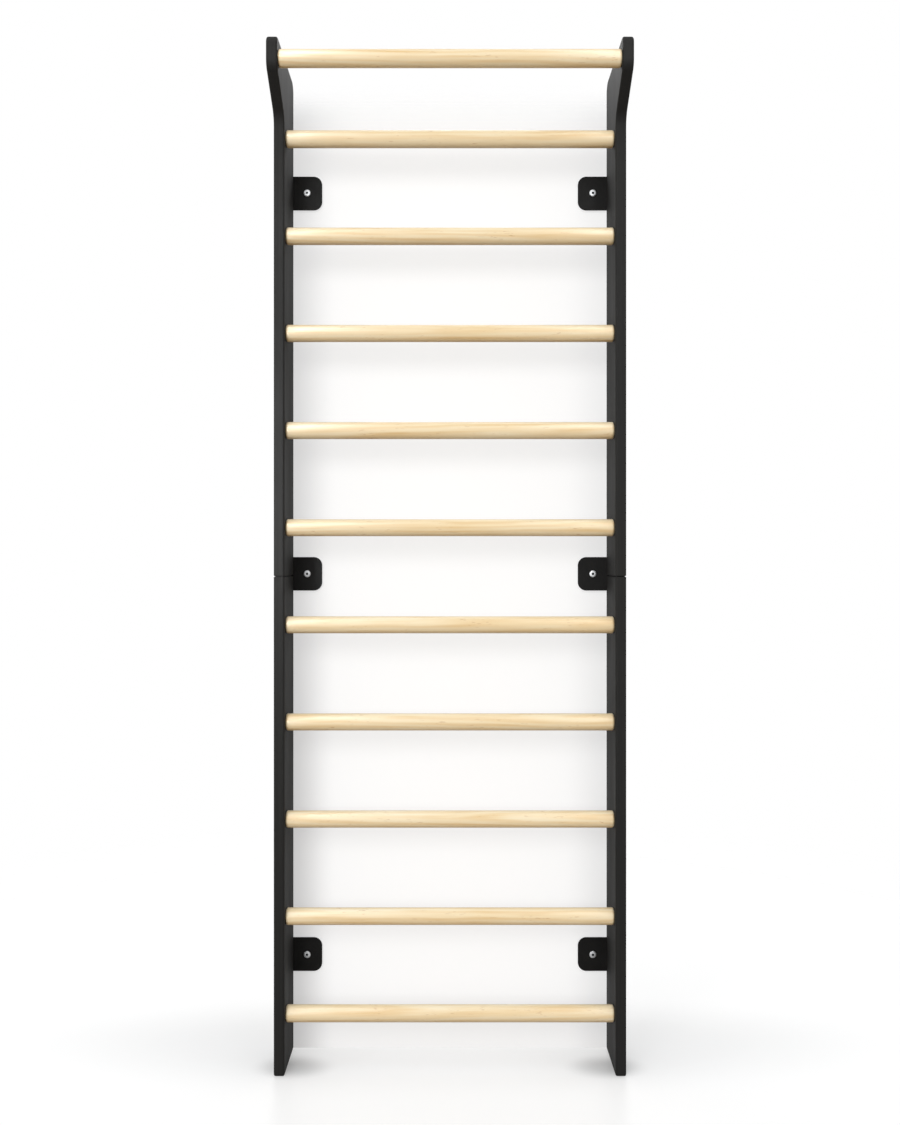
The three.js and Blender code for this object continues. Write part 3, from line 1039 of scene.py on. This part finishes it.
@dataclass(frozen=True)
class ScrewSet:
    """A set of like screws, each with a six-sided key socket, made in one piece."""

    name: str
    slot: str
    head: ScrewHead
    nodes: tuple[str, ...]
    facing: tuple[Triple, ...]
    head_radius: float
    shank_radius: float
    point: float
    key: float
    key_depth: float
    rim: float = 0.25 * MM
    rim_round: Pair = (0.4, 0.3)
    tip_radius: float = 0.2 * MM
    crown_radius: float = 0.0
    crown: float = 0.0
    dome_turn: float = math.radians(70)
    dome_steps: int = 6
    facets: int = 40
    seed: int = 3

    def tree(self) -> Turning:
        """Make the tree, which sinks the key sockets and turns each screw by chance."""
        sizes = {"Key Flats": "Float", "Key Depth": "Float", "Head Top": "Float", "Key Finish": "Material"}
        turning = Turning(f"{self.name}_tree", sizes)
        wire, inputs = turning.wire, turning.inputs
        body = turning.turned(along_x=False)
        radius = wire.math("DIVIDE", inputs["Key Flats"], math.sqrt(3.0))
        key = wire.out("GeometryNodeMeshCylinder", {
            "Vertices": 6, "Radius": radius, "Depth": wire.math("MULTIPLY", inputs["Key Depth"], 2.0),
        })
        lift = wire.out("ShaderNodeCombineXYZ", {2: inputs["Head Top"]})
        raised = wire.out("GeometryNodeTransform", {"Geometry": key, "Translation": lift})
        # The socket faces take a dark finish of their own: painted shade in the recess.
        raised = wire.out("GeometryNodeSetMaterial", {"Geometry": raised, "Material": inputs["Key Finish"]})
        socketed = wire.out("GeometryNodeMeshBoolean", {"Mesh 1": body, "Mesh 2": raised},
                            operation="DIFFERENCE", solver="EXACT")
        facing = wire.out("GeometryNodeInputNamedAttribute", {"Name": FACING}, data_type="FLOAT_VECTOR")
        aim = wire.out("FunctionNodeAlignRotationToVector", {"Vector": facing}, axis="Z")
        seated = wire.out("GeometryNodeInstanceOnPoints", {
            "Points": inputs["Seats"], "Instance": socketed, "Rotation": aim,
        })
        spin = wire.node("FunctionNodeRandomValue", {2: 0.0, 3: math.tau, "Seed": self.seed}).outputs[1]
        angle = wire.out("ShaderNodeCombineXYZ", {2: spin})
        turned = wire.out("GeometryNodeRotateInstances", {"Instances": seated, "Rotation": angle})
        turning.end(turned, spared=inputs["Key Finish"])
        return turning

    def profile(self, length: float) -> list[Pair]:
        """Give the half profile of a screw whose seat is at height 0.

        Args:
            length: from the seat, or a countersunk head's top, to the tip.

        Returns:
            Radii and heights from the tip up.
        """
        shank, head, rim = self.shank_radius, self.head_radius, self.rim
        if self.head is ScrewHead.COUNTERSUNK:
            inset, drop = self.rim_round
            return [(self.tip_radius, -length), (shank, self.point - length), (shank, shank - head),
                    (head, -rim), (head - inset * rim, -drop * rim), (head - rim, 0.0)]
        half = [(shank - self.point, -length), (shank, self.point - length), (shank, 0.0), (head, 0.0),
                (head, rim)]
        for step in range(1, self.dome_steps + 1):
            turn = self.dome_turn * step / self.dome_steps
            share = math.sin(turn) / math.sin(self.dome_turn)
            fall = (1 - math.cos(turn)) / (1 - math.cos(self.dome_turn))
            half.append((head - (head - self.crown_radius) * fall, rim + (self.crown - rim) * share))
        return half

    def build(self, finish: bpy.types.Material, key_finish: bpy.types.Material) -> None:
        """Make the screws.

        Args:
            finish: the steel.
            key_finish: the dark steel inside the key sockets, which paints their shade in the zinc screws.
        """
        seats, length = [], 0.0
        for node, way in zip(self.nodes, self.facing):
            low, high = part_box(node)
            facing = Vector(way)
            half = abs((high - low).dot(facing)) / 2
            seats.append((middle_of(node) + facing * (half - self.crown), facing))
            length = 2 * half - self.crown
        values = {
            "Facets": self.facets,
            "Key Flats": self.key,
            "Key Depth": self.key_depth,
            "Head Top": self.crown,
            "Key Finish": key_finish,
            "Finish": finish,
        }
        piece = self.tree().run(self.name, seats, self.profile(length), values)
        hand_over(piece, self.slot, *self.nodes)


class Fasteners:
    """The three sets of screws."""

    def __init__(self) -> None:
        """List the sets with the solids that they stand for."""
        rung_nodes = [(f"{bar}_screw_{side.label}", (float(side.value), 0.0, 0.0))
                      for side in Side for bar in BAR_NAMES]
        wall_nodes = [(f"wall_screw_{level.label}_{side.label}", (0.0, -1.0, 0.0))
                      for side in Side for level in Level]
        plate_nodes = [(f"plate_screw_{label}_{side.label}", (0.0, 1.0, 0.0))
                       for side in Side for level in Level for label in level.value]
        self.rung_screws = ScrewSet(
            "rung_screws", "dark_screw", ScrewHead.COUNTERSUNK, *zip(*rung_nodes), head_radius=5.5 * MM,
            shank_radius=3 * MM, point=7 * MM, key=4 * MM, key_depth=2.2 * MM)
        self.plate_screws = ScrewSet(
            "plate_screws", "bright_screw", ScrewHead.COUNTERSUNK, *zip(*plate_nodes), head_radius=4.8 * MM,
            shank_radius=2.5 * MM, point=6 * MM, key=3 * MM, key_depth=1.9 * MM)
        self.wall_screws = ScrewSet(
            "wall_screws", "bright_screw", ScrewHead.DOMED, *zip(*wall_nodes), head_radius=7.5 * MM,
            shank_radius=4 * MM, point=1.2 * MM, key=5 * MM, key_depth=2.8 * MM, rim=1.6 * MM,
            crown_radius=5.4 * MM, crown=3.4 * MM)

    def build(self, zinc: bpy.types.Material, black: bpy.types.Material) -> None:
        """Make every screw in its steel; the key sockets get the dark steel, which paints their shade in the
        zinc screws.
        """
        self.rung_screws.build(black, black)
        # The zinc screws' key sockets take the black steel as painted shade.
        self.plate_screws.build(zinc, black)
        self.wall_screws.build(zinc, black)


@dataclass(frozen=True)
class SeamTenons:
    """Loose tenons inside the seams, which keep their solids."""

    nodes: tuple[str, ...] = ("seam_tenon_left", "seam_tenon_right")

    def dress(self, finish: bpy.types.Material) -> None:
        """Give the solids their wood."""
        for name in self.nodes:
            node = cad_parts[name]
            node.data.materials.clear()
            node.data.materials.append(finish)
            LOG.info("%s: kept", name)


@dataclass(frozen=True)
class Lamp:
    """Soft box lamp: where it hangs, the point that it faces, its width and height, watts and beam."""

    name: str
    place: Triple
    aim: Triple
    size: Pair
    power: float
    gloss_only: bool = False
    hidden: bool = False
    beam: float = math.pi

    def hang(self) -> None:
        """Hang the lamp."""
        data = bpy.data.lights.new(self.name, "AREA")
        data.shape = "RECTANGLE"
        data.size, data.size_y = self.size
        data.energy = self.power
        data.spread = self.beam
        made = new_object(self.name, data)
        place = Vector(self.place)
        made.location = place
        made.rotation_euler = (Vector(self.aim) - place).to_track_quat("-Z", "Y").to_euler()
        made.visible_diffuse = not self.gloss_only
        made.visible_camera = not self.hidden


# A broad soft box and a strip for the gloss on either side, and two small strips for the boards' gloss:
# one behind the heads, one beside the left front.
LAMPS = (
    Lamp("left_lamp", (-1.9, -5.2, 2.4), (0.0, 0.0, 1.1), (3.0, 3.0), 150.0),
    Lamp("left_strip", (-0.66, -1.6, 3.0), (-0.3, 0.0, 1.0), (0.26, 2.0), 40.0, gloss_only=True),
    Lamp("right_lamp", (1.9, -5.2, 2.4), (0.0, 0.0, 1.1), (3.0, 3.0), 42.0),
    Lamp("right_strip", (0.66, -1.6, 3.0), (0.3, 0.0, 1.0), (0.26, 2.0), 20.0, gloss_only=True),
    Lamp("head_strip", (0.0, 0.7, 2.6), (0.0, 0.0, 1.95), (0.5, 0.3), 4.4, gloss_only=True, hidden=True),
    Lamp("left_front_strip", (-0.80, -1.1, 1.28), (-0.33, -0.07, 1.22), (0.25, 0.5), 5.3, gloss_only=True,
         hidden=True, beam=math.radians(70)),
)


@dataclass(frozen=True)
class Studio:
    """Pale floor, the patch of white wall behind the rungs, soft lamps and the camera."""

    ladder: Ladder
    floor_half: float = 4.0
    floor_clear: float = 1.0
    floor_gone: float = 2.4
    floor_paint: Colour = (0.50, 0.50, 0.50, 1.0)
    floor_bounce: Colour = (0.20, 0.115, 0.03, 1.0)
    floor_roughness: float = 0.32
    floor_specular: float = 0.3
    floor_glow: float = 0.515
    # Painted shadows in the floor's glow: a wide pool round the object, lighter between the feet, and a
    # contact shadow round each foot.
    pool_depth: float = 0.12
    pool_size: Pair = (1.02, 0.28)
    pool_edge: Pair = (0.36, 1.05)
    pool_back: float = 40 * MM
    pool_gap: Pair = (0.10, 0.40)
    pool_middle: float = 0.45
    contact_depth: float = 0.25
    contact_size: Pair = (96 * MM, 70 * MM)
    contact_edge: Pair = (0.15, 1.0)
    contact_back: float = 4 * MM
    contact_inset: float = 14 * MM
    wall_paint: Colour = (0.42, 0.42, 0.42, 1.0)
    # Painted shade in the wall's glow: a band just above the floor, and shade beside the boards, deepest low
    # down and weaker on the right. The glow itself rises a little towards the floor, painted light.
    wall_glow: Pair = (0.645, 0.635)
    wall_tint: Colour = (0.97, 0.981, 1.0, 1.0)
    wall_gap: float = 4 * MM
    wall_fade: float = 90 * MM
    skirt_height: float = 160 * MM
    skirt_depth: float = 0.05
    corner_reach: float = 90 * MM
    corner_depth: float = 0.19
    corner_top: float = 0.2
    corner_right: float = 0.45
    corner_span: Pair = (-0.3, 0.3)
    white: Colour = (1.0, 1.0, 1.0, 1.0)
    zenith: Colour = (0.86, 0.89, 0.93, 1.0)
    horizon: Colour = (0.46, 0.42, 0.35, 1.0)
    nadir: Colour = (0.11, 0.05, 0.0, 1.0)
    lens: float = 37.6
    sensor: float = 36.0
    camera_gap: float = 2.390
    camera_height: float = 1.0463

    def sheet(self, name: str, corners: Sequence[Triple], finish: bpy.types.Material) -> None:
        """Add one flat sheet of the stage."""
        mesh = bpy.data.meshes.new(name)
        mesh.from_pydata(corners, [], [tuple(range(len(corners)))])
        mesh.materials.append(finish)
        new_object(name, mesh)

    def floor_shade(self, wire: Wiring, place: Socket) -> Socket:
        """Give the floor's glow, dimmed by a painted shadow in a wide pool round the object and by a painted
        contact shadow close to the feet.

        Args:
            wire: the floor's wiring.
            place: the place on the floor.

        Returns:
            The strength of the glow.
        """
        # Painted shadow pool round the object, lighter between the feet.
        middle = wire.vector("SUBTRACT", place, (0.0, self.ladder.wall_y + self.pool_back, 0.0))
        away = wire.length(wire.vector("DIVIDE", middle, (*self.pool_size, 1.0)))
        pool = wire.ease(away, *self.pool_edge, self.pool_depth, 0.0)
        across, along, _ = wire.axes(place)
        across = wire.math("ABSOLUTE", across)
        share = wire.ease(across, *self.pool_gap, self.pool_middle, 1.0)
        glow = wire.math("SUBTRACT", self.floor_glow, wire.math("MULTIPLY", pool, share))
        # Painted contact shadow round each foot.
        beside = wire.math("SUBTRACT", across, self.ladder.inner_x - self.contact_inset)
        behind = wire.math("SUBTRACT", along, self.contact_back)
        foot = wire.out("ShaderNodeCombineXYZ", {0: beside, 1: behind})
        near = wire.length(wire.vector("DIVIDE", foot, (*self.contact_size, 1.0)))
        return wire.math("SUBTRACT", glow, wire.ease(near, *self.contact_edge, self.contact_depth, 0.0))

    def floor(self) -> None:
        """Lay the floor, which fades into the white round about, keeps the object's shadow and has painted
        shadows in its glow.
        """
        made, wire = new_material("pale_floor")
        place = wire.place()
        seen = wire.seen()
        shell = wire.out("ShaderNodeBsdfPrincipled", {
            "Base Color": wire.blend(seen, self.floor_bounce, self.floor_paint),
            "Roughness": self.floor_roughness,
            "Specular IOR Level": self.floor_specular,
            "Emission Color": self.white,
            "Emission Strength": wire.math("MULTIPLY", seen, self.floor_shade(wire, place)),
        })
        wire.fading(wire.ease(wire.length(place), self.floor_clear, self.floor_gone, 1.0, 0.0), shell)
        half = self.floor_half
        corners = [(-half, -half, 0.0), (half, -half, 0.0), (half, half, 0.0), (-half, half, 0.0)]
        self.sheet("floor", corners, made)

    def wall_shade(self, wire: Wiring, across: Socket, height: Socket) -> Socket:
        """Give the wall's glow, which rises a little towards the floor, with painted shade just above the
        floor and beside the boards.

        Args:
            wire: the wall's wiring.
            across: how far right of the middle.
            height: how far above the floor.

        Returns:
            The strength of the glow.
        """
        top = self.ladder.top_z
        glow = wire.spread(height, 0.0, top, *self.wall_glow)
        # Painted shade in a band just above the floor.
        glow = wire.math("SUBTRACT", glow, wire.ease(height, 0.0, self.skirt_height, self.skirt_depth, 0.0))
        # Painted shade beside the boards, deepest at the foot and weaker on the right.
        gap = wire.math("SUBTRACT", self.ladder.inner_x, wire.math("ABSOLUTE", across))
        corner = wire.math("MULTIPLY", wire.ease(gap, 0.0, self.corner_reach, self.corner_depth, 0.0),
                           wire.ease(height, 0.0, top, 1.0, self.corner_top))
        corner = wire.math("MULTIPLY", corner, wire.spread(across, *self.corner_span, 1.0, self.corner_right))
        return wire.math("SUBTRACT", glow, corner)

    def wall(self) -> None:
        """Hang the patch of wall between the uprights, seen from the front alone."""
        made, wire = new_material("white_wall")
        at, top = self.ladder, self.ladder.top_z
        back = wire.node("ShaderNodeNewGeometry").outputs["Backfacing"]
        front = wire.math("MULTIPLY", wire.seen(), wire.math("SUBTRACT", 1.0, back))
        across, _, height = wire.axes(wire.place())
        matt = wire.out("ShaderNodeBsdfDiffuse", {"Color": self.wall_paint})
        strength = self.wall_shade(wire, across, height)
        glow = wire.out("ShaderNodeEmission", {"Color": self.wall_tint, "Strength": strength})
        lit = wire.out("ShaderNodeAddShader", {0: matt, 1: glow})
        wire.fading(wire.math("MULTIPLY", front, wire.ease(height, top - self.wall_fade, top, 1.0, 0.0)), lit)
        side, y = (at.inner_x + at.outer_x) / 2, at.wall_y + self.wall_gap
        self.sheet("wall_patch", [(-side, y, 0.0), (side, y, 0.0), (side, y, top), (-side, y, top)], made)

    def world(self) -> None:
        """Make the surroundings: white to the eye, and as light cool from above, dim and warm from below."""
        made = bpy.data.worlds.new("white_studio")
        made.use_nodes = True
        wire = Wiring(made.node_tree)
        way = wire.node("ShaderNodeTexCoord").outputs["Generated"]
        height = wire.spread(wire.axes(way)[2], -1.0, 1.0, 0.0, 1.0)
        dome = wire.ramp(height, ((0.0, self.nadir), (0.5, self.horizon), (1.0, self.zenith)))
        sky = wire.out("ShaderNodeBackground", {"Color": wire.blend(wire.seen(), dome, self.white)})
        wire.node("ShaderNodeOutputWorld", {"Surface": sky})
        bpy.context.scene.world = made

    def camera(self) -> None:
        """Stand the camera square in front, at the photograph's height and distance."""
        data = bpy.data.cameras.new("camera")
        data.sensor_fit = "AUTO"
        data.sensor_width = self.sensor
        data.lens = self.lens
        made = new_object("camera", data)
        made.location = (0.0, self.ladder.front_y - self.camera_gap, self.camera_height)
        made.rotation_euler = (math.pi / 2, 0.0, 0.0)
        bpy.context.scene.camera = made

    def build(self) -> None:
        """Set up the whole studio."""
        self.camera()
        self.floor()
        self.wall()
        self.world()
        for lamp in LAMPS:
            lamp.hang()
        bpy.context.scene.view_settings.view_transform = "Standard"


def main() -> None:
    """Build the wall bars piece by piece, then the studio."""
    logging.basicConfig(level=logging.INFO, format="%(name)s %(message)s")
    ladder = Ladder.from_frame()
    lacquer = BLACK_LACQUER.material()
    coat = POWDER_COAT.material()
    for side in Side:
        for half in Half:
            UprightBoard(ladder, side, half).build(lacquer)
        for level in Level:
            WallPlate(side, level).build(coat)
    Rungs(ladder).build(PaleWood().material())
    Fasteners().build(ZINC_STEEL.material(), BLACK_STEEL.material())
    SeamTenons().dress(BARE_HARDWOOD.material())
    Studio(ladder).build()


if __name__ == "__main__":
    main()
